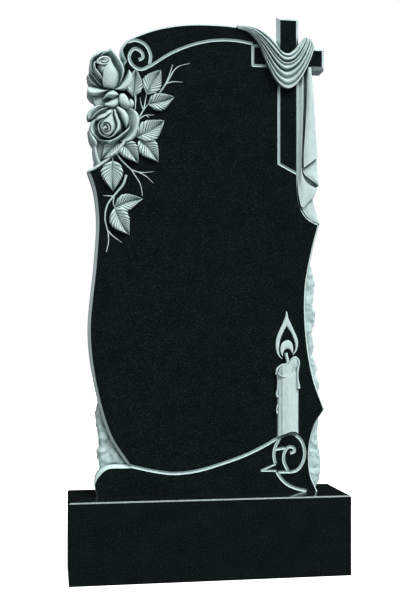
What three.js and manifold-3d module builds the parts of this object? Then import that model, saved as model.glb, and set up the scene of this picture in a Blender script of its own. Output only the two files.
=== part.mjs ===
// Headstone: a black stone stele with carved roses, a draped cross, a candle and scrolls,
// standing on a plain plinth. Millimetres, +Z up, the front faces -Y.
// The origin is the centre of the plinth's underside.
import * as THREE from 'three';
import { mergeVertices } from 'three/addons/utils/BufferGeometryUtils.js';
import Module from 'manifold-3d';

const wasm = await Module();
wasm.setup();

// Driving dimensions
const PLINTH = { wide: 700, deep: 200, high: 200, chamfer: 3 };
const BED = 0.3;
const FOOT = PLINTH.high + BED;
const FACE = -27;
const LAYER = -3;
const BACK = 27;
const CHAMFER = 6;
const ROCK_BEVEL = 6;
const EMBED = 6;
const GROOVE = { wide: 9, deep: 4.5 };
const HAIRLINE = 5;
const POST = { left: 178, right: 235, top: 1414, deep: 24, chamfer: 8 };
const ARM = { left: 111, right: 303, low: 1284, high: 1340 };

// Outline of the polished layer, each stretch as [x, z] points of a smooth curve
const LEFT_EDGE = [[-304, 1007], [-289, 960], [-281, 886], [-287, 780], [-302, 605], [-287, 472],
  [-253, 349], [-205, 279]];
const ROLL_END = [[-205, 279], [-258, 276], [-281, 255], [-285, 225], [-278, FOOT]];
const RIGHT_FOOT = [[284, FOOT], [266, 245], [263, 314], [278, 372], [304, 412]];
const RIGHT_EDGE = [[304, 412], [275, 493], [256, 610], [255, 725], [273, 823], [290, 886]];
const NOTCH = [[290, 886], [258, 904], [239, 935], [233, 985]];
const SHOULDER = [[233, 1320], [168, 1330]];
const ARCH = [[112, 1375], [76, 1384], [8, 1387], [-68, 1382], [-138, 1366], [-196, 1342]];
const VOLUTE_EDGE = [[-196, 1341], [-211, 1331], [-222, 1312], [-219, 1295], [-213, 1283]];
const ROSE_SIDE = [[-236, 1240], [-240, 1110]];
const LEDGE = [[-233, 1053], [-262, 1027], [-304, 1007]];

// Outline of the split rock behind it, as [x, z] corners of its rough breaks
const ROCK_LEFT = [[-276, 1285], [-284, 1200], [-288, 1105], [-284, 1060], [-288, 1022], [-284, 960],
  [-272, 890], [-277, 790], [-290, 620], [-279, 480], [-277, 431], [-284, 399], [-279, 367],
  [-273, 325], [-279, 312], [-273, 270], [-274, 235], [-268, FOOT]];
const ROCK_RIGHT = [[281, FOOT], [296, 228], [299, 251], [298, 286], [293, 314], [290, 341],
  [293, 376], [290, 430], [297, 475], [286, 499], [290, 514], [276, 549], [280, 573], [273, 607],
  [283, 632], [283, 661], [276, 676], [280, 706], [283, 735], [273, 774], [262, 840], [272, 900],
  [270, 1000], [266, 1150], [258, 1290]];
const ROCK_TOP = [[225, 1300], [225, 1332], [160, 1340], [104, 1362], [0, 1375], [-100, 1364],
  [-186, 1331], [-208, 1314], [-211, 1286], [-224, 1277], [-246, 1300]];

// Scroll lines and the cross's outline, cut as V-grooves along [x, z] curves
const GROOVES = [
  { run: [[-213, 280], [-144, 263], [-88, 255], [-30, 260], [31, 276], [94, 297], [148, 322],
    [185, 342], [216, 350], [240, 333], [250, 300], [243, 272], [229, 256], [214, 252]], steps: 32 },
  { run: [[214, 252], [181, 252]], steps: 1 },
  { run: [[206, 255], [195, 280], [197, 303], [208, 316], [220, 314], [223, 305], [211, 300]], steps: 14 },
  { run: [[185, 341], [172, 315], [169, 295], [173, 274]], steps: 5 },
  { run: [[173, 310], [199, 314]], steps: 1 },
  { run: [[177, 253], [184, 241], [197, 226], [218, 213], [256, 202]], steps: 6 },
  { run: [[174, 273], [135, 257]], steps: 1, wide: HAIRLINE },
  { run: [[135, 257], [176, 256]], steps: 1, wide: HAIRLINE },
  { run: [[114, 1342], [66, 1348], [10, 1345], [-44, 1331], [-97, 1307], [-148, 1273]], steps: 16 },
  { run: [[-146, 1275], [-172, 1264], [-194, 1276], [-200, 1297], [-187, 1315], [-170, 1308],
    [-166, 1294], [-177, 1287]], steps: 18 },
  { run: [[-149, 1278], [-147, 1302], [-160, 1326], [-184, 1336], [-203, 1331]], steps: 9 },
  { run: [[176, 1337], [114, 1337]], steps: 1 },
  { run: [[114, 1338], [114, 1286]], steps: 1 },
  { run: [[113, 1287], [182, 1287]], steps: 1 },
  { run: [[182, 1288], [182, 1037]], steps: 1 },
  { run: [[181, 1040], [232, 1014]], steps: 1 },
];

// Stems and tendrils, raised along [x, z] curves and tapering to their ends
const STEMS = [
  { run: [[-124, 1209], [-106, 1230], [-101, 1250], [-89, 1280]], wide: 5 },
  { run: [[-106, 1232], [-86, 1260], [-67, 1278], [-44, 1284]], wide: 4 },
  { run: [[-106, 1230], [-92, 1236], [-66, 1237]], wide: 4 },
  { run: [[-174, 1140], [-164, 1166], [-151, 1179]], wide: 6 },
  { run: [[-164, 1170], [-156, 1203]], wide: 4 },
  { run: [[-176, 1139], [-160, 1147], [-137, 1150]], wide: 4 },
  { run: [[-229, 1051], [-199, 1015], [-167, 1007], [-136, 1012]], wide: 6 },
  { run: [[-167, 1007], [-140, 982]], wide: 4 },
  { run: [[-199, 1015], [-178, 993], [-166, 969], [-169, 948]], wide: 5 },
  { run: [[-211, 998], [-210, 985], [-236, 946], [-261, 895], [-252, 845], [-256, 808]], wide: 7 },
  { run: [[-250, 857], [-218, 833]], wide: 4 },
  { run: [[-236, 946], [-263, 948]], wide: 4 },
  { run: [[-240, 940], [-236, 917]], wide: 5 },
  { run: [[-226, 1062], [-241, 1030]], wide: 5 },
];
const STEM_RISE = 3;

// Leaves: base and tip as [x, z], the width, and the height above the polished face
const LEAVES = [
  { base: [-156, 1202], tip: [-123, 1261], wide: 46, rise: 7 },
  { base: [-153, 1178], tip: [-89, 1197], wide: 42, rise: 7 },
  { base: [-190, 1195], tip: [-184, 1262], wide: 40, rise: 9 },
  { base: [-182, 1095], tip: [-114, 1136], wide: 52, rise: 8 },
  { base: [-175, 1090], tip: [-129, 1036], wide: 50, rise: 6 },
  { base: [-222, 1082], tip: [-180, 1031], wide: 44, rise: 9 },
  { base: [-222, 1084], tip: [-268, 1036], wide: 40, rise: 9 },
  { base: [-241, 1034], tip: [-240, 961], wide: 53, rise: 7 },
  { base: [-236, 917], tip: [-169, 940], wide: 42, rise: 6 },
  { base: [-236, 917], tip: [-201, 853], wide: 48, rise: 7 },
];

// Rose petals: a closed outline of [x, z] points, with the height of its edge and of its crown
// above the polished face. A crown lower than the edge makes a cup.
const UPPER_ROSE = {
  petals: [
    { rim: [[-211, 1256], [-224, 1290], [-246, 1314], [-268, 1304], [-293, 1290], [-300, 1258],
      [-304, 1237], [-290, 1217], [-246, 1212], [-219, 1226]], crown: 1, edge: 11 },
    { rim: [[-304, 1219], [-272, 1217], [-236, 1211], [-262, 1198], [-285, 1194], [-303, 1203]],
      crown: 16, edge: 6 },
    { rim: [[-236, 1212], [-216, 1238], [-199, 1261], [-191, 1247], [-196, 1227], [-212, 1210]],
      crown: 15, edge: 6 },
    { rim: [[-296, 1192], [-270, 1196], [-258, 1180], [-272, 1166], [-293, 1172]], crown: 6, edge: 1 },
    { rim: [[-236, 1196], [-206, 1202], [-190, 1184], [-196, 1164], [-220, 1172]], crown: 11, edge: 4 },
    { rim: [[-262, 1188], [-240, 1188], [-222, 1178], [-228, 1163], [-252, 1164]], crown: 10, edge: 3 },
    { rim: [[-265, 1193], [-242, 1210], [-226, 1201], [-236, 1188], [-252, 1186]], crown: 17, edge: 8 },
  ],
  rolls: [
    { run: [[-281, 1282], [-290, 1271], [-285, 1257], [-274, 1244], [-262, 1228]], wide: 12, rise: 21 },
    { run: [[-298, 1257], [-288, 1236], [-266, 1217]], wide: 7, rise: 14 },
    { run: [[-303, 1243], [-296, 1228], [-278, 1218]], wide: 6, rise: 12 },
    { run: [[-281, 1288], [-267, 1304]], wide: 5, rise: 12 },
  ],
};
const LOWER_ROSE = {
  petals: [
    { rim: [[-304, 1146], [-286, 1166], [-256, 1168], [-240, 1158], [-270, 1140], [-292, 1130]],
      crown: 6, edge: 2 },
    { rim: [[-210, 1172], [-184, 1160], [-172, 1128], [-182, 1096], [-206, 1080], [-214, 1120]],
      crown: 10, edge: 6 },
    { rim: [[-299, 1110], [-303, 1092], [-290, 1066], [-274, 1068], [-272, 1090], [-284, 1104]],
      crown: 11, edge: 7 },
    { rim: [[-205, 1112], [-214, 1090], [-246, 1072], [-272, 1076], [-280, 1092], [-240, 1105]],
      crown: 8, edge: 4 },
    { rim: [[-297, 1126], [-284, 1146], [-256, 1160], [-222, 1168], [-199, 1140], [-206, 1110],
      [-238, 1088], [-276, 1086]], crown: 4, edge: 14 },
    { rim: [[-238, 1167], [-214, 1166], [-202, 1148], [-204, 1124], [-222, 1110], [-228, 1140]],
      crown: 20, edge: 14 },
    { rim: [[-242, 1154], [-236, 1126], [-240, 1106], [-256, 1095], [-274, 1104], [-270, 1128]],
      crown: 26, edge: 21 },
  ],
  rolls: [
    { run: [[-286, 1138], [-262, 1152], [-238, 1163]], wide: 14, rise: 20 },
    { run: [[-236, 1162], [-227, 1142], [-224, 1118], [-234, 1100], [-256, 1091], [-278, 1103],
      [-279, 1124]], wide: 9, rise: 19 },
    { run: [[-200, 1128], [-222, 1105], [-248, 1091], [-277, 1087]], wide: 9, rise: 19 },
  ],
};
const BUD = { middle: [-246, 1249], wide: 43, high: 80, lean: 0.1, proud: 26, axis: -15 };
const HEART = { middle: [-258, 1114], turns: 2.25, first: 3, last: 17, wide: 4, deep: 6 };

// Cloth over the cross: edges as [x, z] curves, folds across it, and its height over the face
const SWAG = {
  inner: [[74, 1386], [118, 1381], [150, 1366], [172, 1345], [187, 1324], [204, 1319], [220, 1329],
    [234, 1348], [244, 1360]],
  outer: [[74, 1378], [100, 1370], [128, 1342], [142, 1309], [155, 1281], [170, 1254], [187, 1236],
    [204, 1230], [220, 1237], [236, 1256], [252, 1284], [265, 1315], [272, 1338], [266, 1354]],
  folds: 5, rise: 21, depth: 4.5,
};
const TAIL = {
  outer: [[264, 1286], [270, 1225], [280, 1110], [287, 988], [274, 977], [284, 972], [274, 957],
    [284, 905], [289, 889]],
  inner: [[233, 1286], [232, 1200], [232, 1080], [232, 1000], [234, 965], [240, 943], [250, 922],
    [264, 905], [286, 888]],
  profile: [0, 7, 8, -4, 8, 10, 7, -6],
};

// Candle, its wick and its flame
const CANDLE = { left: 177, right: 233, low: 353, lip: [514, 534], proud: 13 };
const RELIEFS = [
  { run: [[203, 512], [203, 558]], wide: 9, rise: 8, steps: 3, ends: 0.6 },
  { run: [[190, 548], [178, 572], [188, 616], [202, 650], [217, 618], [228, 580], [219, 557]],
    wide: 9, rise: 5, steps: 16, ends: 0.5 },
  { run: [[189, 561], [196, 578], [211, 579], [219, 562]], wide: 11, rise: 5, steps: 6, ends: 0.2 },
];

function through(points, steps, closed = false) {
  const knots = points.map(([x, z]) => new THREE.Vector3(x, 0, z));
  const curve = new THREE.CatmullRomCurve3(knots, closed, 'centripetal');
  const samples = curve.getSpacedPoints(steps).map((p) => [p.x, p.z]);
  return closed ? samples.slice(0, -1) : samples;
}

function ring(points, y) {
  return points.map(([x, z]) => [x, y, z]);
}

// Moves each point of a closed outline inwards by the same distance
function inset(points, distance) {
  const mitreLimit = 2.2;
  return points.map(([x, z], i) => {
    const [px, pz] = points[(i + points.length - 1) % points.length];
    const [nx, nz] = points[(i + 1) % points.length];
    const before = new THREE.Vector2(pz - z, x - px).normalize();
    const after = new THREE.Vector2(z - nz, nx - x).normalize();
    const mean = before.clone().add(after).normalize();
    const reach = Math.min(1 / Math.max(mean.dot(after), 0.01), mitreLimit);
    return [x + mean.x * distance * reach, z + mean.y * distance * reach];
  });
}

// Turns triangles into a closed solid whose faces point out
function solidOf(vertices, faces) {
  let volume = 0;
  for (const [a, b, c] of faces) {
    const [p, q, r] = [a, b, c].map((i) => new THREE.Vector3(...vertices[i]));
    volume += p.dot(q.cross(r));
  }
  const turned = volume < 0 ? faces.map(([a, b, c]) => [a, c, b]) : faces;
  const mesh = new wasm.Mesh({
    numProp: 3,
    vertProperties: new Float32Array(vertices.flat()),
    triVerts: new Uint32Array(turned.flat()),
  });
  return new wasm.Manifold(mesh);
}

// A solid through closed rings of equal length, its first and last ring capped
function loft(rings) {
  const plan = rings[rings.length - 1].map(([x, , z]) => new THREE.Vector2(x, z));
  if (THREE.ShapeUtils.isClockWise(plan)) rings.forEach((points) => points.reverse());
  const count = rings[0].length;
  const faces = [];
  for (let k = 0; k + 1 < rings.length; k += 1) {
    for (let i = 0; i < count; i += 1) {
      const j = (i + 1) % count;
      const [a, b] = [k * count + i, k * count + j];
      faces.push([a, b + count, b], [a, a + count, b + count]);
    }
  }
  const cap = (points) => THREE.ShapeUtils.triangulateShape(
    points.map(([x, , z]) => new THREE.Vector2(x, z)), []);
  const last = (rings.length - 1) * count;
  for (const face of cap(rings[0])) {
    faces.push(face);
  }
  for (const [a, b, c] of cap(rings[rings.length - 1])) {
    faces.push([last + a, last + c, last + b]);
  }
  return solidOf(rings.flat(), faces);
}

// A solid under a grid of surface points, closed by the same grid laid flat at one depth
function slabUnder(grid, depth) {
  const [rows, columns] = [grid.length, grid[0].length];
  const front = grid.flat();
  const back = front.map(([x, , z]) => [x, depth, z]);
  const total = front.length;
  const faces = [];
  for (let i = 0; i + 1 < rows; i += 1) {
    for (let j = 0; j + 1 < columns; j += 1) {
      const [a, b] = [i * columns + j, i * columns + j + 1];
      const [c, d] = [a + columns, b + columns];
      faces.push([a, b, d], [a, d, c]);
      faces.push([total + a, total + d, total + b], [total + a, total + c, total + d]);
    }
  }
  const upTo = (count, place) => Array.from({ length: count - 1 }, (_, k) => place(k));
  const border = [
    ...upTo(columns, (k) => k),
    ...upTo(rows, (k) => k * columns + columns - 1),
    ...upTo(columns, (k) => rows * columns - 1 - k),
    ...upTo(rows, (k) => (rows - 1 - k) * columns),
  ];
  border.forEach((a, k) => {
    const b = border[(k + 1) % border.length];
    faces.push([b, a, total + a], [b, total + a, total + b]);
  });
  return solidOf([...front, ...back], faces);
}

// A plate with a chamfered front edge, which stays square where it stands on the plinth
function plate(outline, front, back, chamfer) {
  const edge = inset(outline, chamfer).map(([x, z], i) => [x, outline[i][1] === FOOT ? FOOT : z]);
  return loft([ring(edge, front), ring(outline, front + chamfer), ring(outline, back)]);
}

// Points along a curve with the unit normal at each, in the plane of the face
function withNormals(points) {
  return points.map(([x, z], i) => {
    const [px, pz] = points[Math.max(i - 1, 0)];
    const [nx, nz] = points[Math.min(i + 1, points.length - 1)];
    const along = new THREE.Vector2(nx - px, nz - pz).normalize();
    return { x, z, nx: -along.y, nz: along.x };
  });
}

// A strip of triangular section along a curve: proud of the face, or sunk into it
function strip({ run, steps, wide, height, ends = 1, base, depth }) {
  const points = withNormals(run.length > 2 ? through(run, steps) : run);
  const grid = points.map(({ x, z, nx, nz }, i) => {
    const t = points.length > 1 ? i / (points.length - 1) : 0;
    const taper = ends + (1 - ends) * Math.sin(Math.PI * Math.min(0.5 + t / 2, 1));
    const half = wide * taper / 2;
    return [[x - nx * half, base, z - nz * half], [x, base - height * taper, z],
      [x + nx * half, base, z + nz * half]];
  });
  return slabUnder(grid, depth);
}

// A rolled rim: as a strip, with a broad round back
function roll({ run, wide, rise }) {
  const points = withNormals(through(run, Math.max(3, run.length * 2)));
  const across = [[-1, 0.3], [-0.5, 0.95], [0.35, 0.95], [1, 0.3]];
  const grid = points.map(({ x, z, nx, nz }, i) => {
    const t = i / (points.length - 1);
    const taper = 0.35 + 0.65 * Math.sqrt(Math.sin(Math.PI * (0.04 + 0.92 * t)));
    return across.map(([side, lift]) => [x + nx * side * wide / 2 * taper,
      FACE - rise * lift * (0.6 + 0.4 * taper), z + nz * side * wide / 2 * taper]);
  });
  return slabUnder(grid, FACE + EMBED);
}

function groove({ run, steps, wide = GROOVE.wide }) {
  const proud = 2;
  const deep = GROOVE.deep * wide / GROOVE.wide + proud;
  return strip({ run, steps, wide: deep * GROOVE.wide / GROOVE.deep, height: -deep,
    base: FACE - proud, depth: FACE - proud - 1 });
}

function stem({ run, wide }) {
  const steps = Math.max(2, Math.round(run.length * 1.6));
  return strip({ run, steps, wide, height: STEM_RISE, ends: 0.45, base: FACE + 0.2, depth: FACE + 3 });
}

function relief({ run, steps, wide, rise, ends }) {
  return strip({ run, steps, wide, height: rise, ends, base: FACE + 0.2, depth: FACE + 3 });
}

// A leaf: widest nearer its base, high between the midrib and the edge
function leaf({ base, tip, wide, rise }) {
  const rows = 7;
  const across = [-1, -0.55, 0, 0.55, 1];
  const lift = [0.1, 1, 0.55, 1, 0.1];
  const along = new THREE.Vector2(tip[0] - base[0], tip[1] - base[1]);
  const side = new THREE.Vector2(-along.y, along.x).normalize();
  const grid = [];
  for (let i = 0; i <= rows; i += 1) {
    const u = i / rows;
    const half = Math.max(0.4, wide / 2 * Math.sin(Math.PI * u ** 0.72));
    grid.push(across.map((v, j) => [
      base[0] + along.x * u + side.x * v * half,
      FACE - rise * lift[j] * Math.min(1, 0.25 + half / wide * 2),
      base[1] + along.y * u + side.y * v * half,
    ]));
  }
  return slabUnder(grid, FACE + EMBED);
}

// A petal: its rim stands at one height, and its middle is domed above it or cupped below it
function petal({ rim, crown, edge }) {
  const outline = through(rim, rim.length > 7 ? 22 : 14, true);
  const mean = (axis) => outline.reduce((sum, point) => sum + point[axis], 0) / outline.length;
  const [mx, mz] = [mean(0), mean(1)];
  const shrink = (k) => outline.map(([x, z]) => [mx + (x - mx) * k, mz + (z - mz) * k]);
  const rolled = crown > edge ? edge + (crown - edge) * 0.6 : edge;
  return loft([
    ring(shrink(0.3), FACE - crown),
    ring(shrink(0.75), FACE - rolled),
    ring(outline, FACE - edge * 0.8),
    ring(outline, LAYER + EMBED),
  ]);
}

// The closed bud of the upper rose: half an egg
function bud({ middle, wide, high, lean, proud, axis }) {
  const egg = new THREE.SphereGeometry(1, 16, 12);
  egg.deleteAttribute('normal');
  egg.deleteAttribute('uv');
  const merged = mergeVertices(egg);
  merged.scale(wide / 2, proud - FACE + axis, high / 2);
  merged.rotateY(lean);
  merged.translate(middle[0], axis, middle[1]);
  const { array } = merged.attributes.position;
  const vertices = [];
  for (let i = 0; i < array.length; i += 3) {
    vertices.push([array[i], array[i + 1], array[i + 2]]);
  }
  const faces = [];
  for (let i = 0; i < merged.index.count; i += 3) {
    faces.push([...merged.index.array.slice(i, i + 3)]);
  }
  return solidOf(vertices, faces);
}

// The coiled heart of the lower rose, sunk as a spiral line into its highest petal
function heart({ middle, turns, first, last, wide, deep }) {
  const samples = 26;
  const run = [];
  for (let i = 0; i <= samples; i += 1) {
    const t = i / samples;
    const angle = 2 * Math.PI * turns * t;
    const radius = first + (last - first) * t;
    run.push([middle[0] + radius * Math.cos(angle), middle[1] - radius * Math.sin(angle)]);
  }
  const top = FACE - 27;
  return strip({ run, steps: samples, wide: wide * 1.6, height: -deep, base: top, depth: top - 1 });
}

// The swag hangs between its inner and outer edge, with folds that follow them
function swag({ inner, outer, folds, rise, depth }) {
  const steps = 20;
  const across = folds * 2;
  const [a, b] = [through(inner, steps), through(outer, steps)];
  const grid = a.map(([x, z], i) => {
    const row = [];
    const full = Math.min(1, 0.35 + 2.2 * Math.min(i, steps * 1.1 - i) / steps);
    for (let j = 0; j <= across; j += 1) {
      const v = j / across;
      const wave = j % 2 ? 0 : -depth;
      const body = rise * full * Math.sqrt(Math.max(0.12, Math.sin(Math.PI * (0.08 + 0.84 * v))));
      row.push([x + (b[i][0] - x) * v, FACE - body - wave * full, z + (b[i][1] - z) * v]);
    }
    return row;
  });
  return slabUnder(grid, FACE + 20);
}

// The end of the cloth hangs down beside the slab in long folds
function tail({ inner, outer, profile }) {
  const steps = 14;
  const [a, b] = [through(inner, steps), through(outer, steps * 2).filter((_, i) => i % 2 === 0)];
  const grid = a.map(([x, z], i) => profile.map((height, j) => {
    const v = j / (profile.length - 1);
    return [x + (b[i][0] - x) * v, FACE - height * 0.7, z + (b[i][1] - z) * v];
  }));
  return slabUnder(grid, LAYER + EMBED);
}

// A candle in half relief, its rim higher on the right
function candle({ left, right, low, lip, proud }) {
  const across = 8;
  const levels = [0, 0.5, 0.93, 1];
  const grid = levels.map((u) => {
    const row = [];
    for (let j = 0; j <= across; j += 1) {
      const v = j / across;
      const round = Math.sqrt(Math.max(0.04, 1 - (2 * v - 1) ** 2));
      const top = lip[0] + (lip[1] - lip[0]) * v ** 2 - 10 * Math.sin(Math.PI * v);
      const worn = u === 1 ? 0.55 : 1;
      row.push([left + (right - left) * v, FACE - proud * round * worn, low + (top - low) * u]);
    }
    return row;
  });
  return slabUnder(grid, FACE + EMBED);
}

function slabOutline() {
  const stretch = (points, steps) => through(points, steps).slice(1);
  return [
    ...through(LEFT_EDGE, 24), ...stretch(ROLL_END, 8), ...through(RIGHT_FOOT, 8),
    ...stretch(RIGHT_EDGE, 14), ...stretch(NOTCH, 5), ...SHOULDER, ...through(ARCH, 12),
    ...stretch(VOLUTE_EDGE, 7), ...ROSE_SIDE, ...through(LEDGE, 4).slice(0, -1),
  ];
}

// The cross: a deep arm that carries a thinner upright
function makeCross() {
  const shoulder = ARM.low + 20;
  const arm = plate([[POST.left, shoulder], [POST.left + 10, ARM.low], [ARM.right, ARM.low],
    [ARM.right, ARM.high], [POST.left, ARM.high]], FACE, BACK, POST.chamfer);
  const upright = plate([[POST.left, shoulder], [POST.right, shoulder], [POST.right, POST.top],
    [POST.left, POST.top]], FACE, FACE + POST.deep, POST.chamfer);
  return arm.add(upright);
}

function makeStele() {
  const slab = plate(slabOutline(), FACE, LAYER + 1, CHAMFER);
  const rock = plate([...ROCK_LEFT, ...ROCK_RIGHT, ...ROCK_TOP], LAYER, BACK, ROCK_BEVEL);
  const roses = [UPPER_ROSE, LOWER_ROSE];
  const scored = GROOVES.reduce((stone, line) => stone.subtract(groove(line)),
    slab.add(rock).add(makeCross()));
  const carvings = [
    ...STEMS.map(stem),
    ...LEAVES.map(leaf),
    ...roses.flatMap(({ petals }) => petals.map(petal)),
    ...roses.flatMap(({ rolls }) => rolls.map(roll)),
    bud(BUD),
  ];
  const bloomed = carvings.reduce((stone, piece) => stone.add(piece), scored).subtract(heart(HEART));
  const draped = bloomed.add(tail(TAIL)).add(swag(SWAG)).add(candle(CANDLE));
  return RELIEFS.reduce((stone, line) => stone.add(relief(line)), draped);
}

function geometryOf(solid) {
  const { vertProperties, triVerts, numProp } = solid.getMesh();
  const geometry = new THREE.BufferGeometry();
  const positions = new Float32Array(vertProperties.length / numProp * 3);
  for (let i = 0; i < positions.length; i += 3) {
    positions.set(vertProperties.slice(i / 3 * numProp, i / 3 * numProp + 3), i);
  }
  geometry.setAttribute('position', new THREE.BufferAttribute(positions, 3));
  geometry.setIndex([...triVerts]);
  return geometry;
}

// The plinth is a box with a narrow chamfer round its upper edges
function makePlinth({ wide, deep, high, chamfer }) {
  const square = (margin, z) => [
    [-wide / 2 + margin, -deep / 2 + margin, z], [wide / 2 - margin, -deep / 2 + margin, z],
    [wide / 2 - margin, deep / 2 - margin, z], [-wide / 2 + margin, deep / 2 - margin, z]];
  const vertices = [...square(0, 0), ...square(0, high - chamfer), ...square(chamfer, high)];
  const faces = [[0, 2, 1], [0, 3, 2], [8, 9, 10], [8, 10, 11]];
  for (const k of [0, 4]) {
    for (let i = 0; i < 4; i += 1) {
      const j = (i + 1) % 4;
      faces.push([k + i, k + j, k + j + 4], [k + i, k + j + 4, k + i + 4]);
    }
  }
  return solidOf(vertices, faces);
}

const polished = new THREE.MeshStandardMaterial({ color: 0x0d1817, roughness: 0.18, metalness: 0 });
const carved = new THREE.MeshStandardMaterial({ color: 0x2a3634, roughness: 0.55, metalness: 0 });

const headstone = new THREE.Group();
const plinth = new THREE.Mesh(geometryOf(makePlinth(PLINTH)), polished);
plinth.name = 'plinth';
const stele = new THREE.Mesh(geometryOf(makeStele()), carved);
stele.name = 'stele';
headstone.add(plinth, stele);

export default headstone;
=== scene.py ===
"""A black stone headstone with carved roses, a draped cross, a candle and scroll lines.

The stele is drawn in face coordinates: x to the right, z up and the height above the polished
face, all in millimetres. The frame says where the face, the foot and the back are.
"""

import math

import bmesh
import bpy
from mathutils import Matrix, Vector, noise


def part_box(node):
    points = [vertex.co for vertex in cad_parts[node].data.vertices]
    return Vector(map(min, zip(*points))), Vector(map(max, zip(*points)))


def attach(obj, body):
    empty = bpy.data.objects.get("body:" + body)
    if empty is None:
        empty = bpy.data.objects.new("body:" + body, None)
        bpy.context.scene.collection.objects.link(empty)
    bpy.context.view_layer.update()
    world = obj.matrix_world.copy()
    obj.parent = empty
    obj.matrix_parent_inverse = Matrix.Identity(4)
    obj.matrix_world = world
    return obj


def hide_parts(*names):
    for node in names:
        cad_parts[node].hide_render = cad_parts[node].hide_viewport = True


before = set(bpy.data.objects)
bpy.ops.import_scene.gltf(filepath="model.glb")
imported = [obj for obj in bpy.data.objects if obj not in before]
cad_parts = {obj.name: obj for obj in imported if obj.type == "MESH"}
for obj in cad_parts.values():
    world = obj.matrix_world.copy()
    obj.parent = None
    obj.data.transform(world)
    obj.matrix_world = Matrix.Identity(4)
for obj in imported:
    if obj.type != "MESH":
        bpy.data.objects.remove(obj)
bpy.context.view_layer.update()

MM = 0.001
STELE_LOW, STELE_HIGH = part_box("stele")
PLINTH_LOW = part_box("plinth")[0]
FOOT = STELE_LOW.z / MM
TOP = STELE_HIGH.z / MM
BACK_Y = STELE_HIGH.y / MM
FACE_Y = -BACK_Y

# Heights above the polished face
BACK = FACE_Y - BACK_Y
ROCK_FRONT = -11
SLAB_BACK = -36
EMBED = -6
PETAL_ROOT = -30
CLOTH_ROOT = -32

# How wide the chamfers of the cross are, and those along each stretch of the slab's edge
CHAMFERS = {"cross": 7.5, "roll": 8.5, "left": 6.5, "arch": 4.5, "right": 5, "foot": 3}

# How close points merge, how far apart a relief's rows are, how few corners make a crumb of stone,
# and the angle from which an edge stays sharp
MERGE = 0.02
ROW = 1.8
CRUMB = 50
SHARP = math.radians(38)

# Outline of the polished slab, each stretch as [x, z] points of a smooth curve
LEFT_EDGE = [(-304, 1007), (-289, 960), (-281, 886), (-287, 780), (-302, 605), (-284, 465),
             (-249, 349), (-205, 279)]
ROLL_END = [(-205, 279), (-258, 276), (-281, 255), (-285, 225), (-278, FOOT)]
RIGHT_FOOT = [(284, FOOT), (266, 245), (263, 314), (278, 372), (304, 412)]
RIGHT_EDGE = [(304, 412), (275, 493), (256, 610), (255, 725), (273, 823), (290, 886)]
NOTCH = [(290, 886), (258, 904), (239, 935), (233, 985)]
SHOULDER = [(233, 1320), (168, 1330)]
ARCH = [(112, 1375), (76, 1384), (8, 1387), (-68, 1382), (-138, 1366), (-196, 1342)]
VOLUTE_EDGE = [(-196, 1341), (-211, 1331), (-222, 1312), (-219, 1295), (-213, 1283)]
ROSE_SIDE = [(-236, 1240), (-240, 1110)]
LEDGE = [(-233, 1053), (-262, 1027), (-304, 1007)]

# Outline of the split rock behind it, and how far it reaches in under the slab
ROCK_LEFT = [(-276, 1290), (-284, 1200), (-288, 1105), (-284, 1060), (-288, 1022), (-284, 960),
             (-272, 890), (-277, 790), (-290, 620), (-279, 480), (-277, 431), (-284, 399), (-279, 367),
             (-273, 325), (-279, 312), (-273, 270), (-274, 235), (-268, FOOT)]
ROCK_RIGHT = [(281, FOOT), (296, 228), (299, 251), (298, 286), (293, 314), (290, 341), (293, 376),
              (290, 430), (297, 475), (286, 499), (290, 514), (276, 549), (280, 573), (273, 607),
              (283, 632), (283, 661), (276, 676), (280, 706), (283, 735), (273, 774), (262, 840),
              (272, 900), (270, 1000), (266, 1150), (258, 1290)]
ROCK_CORE = [(-250, FOOT), (250, FOOT), (245, 600), (235, 1000), (225, 1332), (160, 1340), (104, 1362),
             (0, 1375), (-100, 1364), (-186, 1331), (-208, 1314), (-215, 1280), (-245, 1280)]
ROCK_REACH = 88

# The cross: its upright and its deeper arm
POST = {"left": 178, "right": 235, "deep": 13}
ARM = {"right": 303, "low": 1284, "high": 1340}

# Scroll lines and the cross's outline, cut as V-grooves: the half width, then the [x, z] points
GROOVE = 4
THIN_GROOVE = 3.5
CROSS_GROOVE = 3.4
HAIRLINE = 2.5
GROOVES = [
    (GROOVE, [(-213, 280), (-144, 263), (-88, 255), (-30, 260), (31, 276), (94, 297), (148, 322),
              (185, 342), (216, 350), (240, 333), (250, 300), (243, 272), (229, 256), (214, 252)]),
    (THIN_GROOVE, [(214, 252), (181, 252)]),
    (GROOVE, [(206, 255), (195, 280), (197, 303), (208, 316), (220, 314), (223, 305), (211, 300)]),
    (GROOVE, [(185, 341), (172, 315), (169, 295), (173, 274)]),
    (THIN_GROOVE, [(173, 310), (199, 314)]),
    (GROOVE, [(177, 253), (184, 241), (197, 226), (218, 213), (256, 202)]),
    (HAIRLINE, [(174, 273), (135, 257)]),
    (HAIRLINE, [(135, 257), (176, 256)]),
    (THIN_GROOVE, [(114, 1342), (66, 1348), (10, 1345), (-44, 1331), (-97, 1307), (-148, 1273)]),
    (GROOVE, [(-146, 1275), (-172, 1264), (-194, 1276), (-200, 1297), (-187, 1315), (-170, 1308),
              (-166, 1294), (-177, 1287)]),
    (GROOVE, [(-149, 1278), (-147, 1302), (-160, 1326), (-184, 1336), (-203, 1331)]),
    (CROSS_GROOVE, [(176, 1337), (114, 1337)]),
    (CROSS_GROOVE, [(114, 1338), (114, 1286)]),
    (CROSS_GROOVE, [(113, 1287), (182, 1287)]),
    (CROSS_GROOVE, [(182, 1288), (182, 1037)]),
    (CROSS_GROOVE, [(181, 1040), (232, 1014)]),
]

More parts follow.
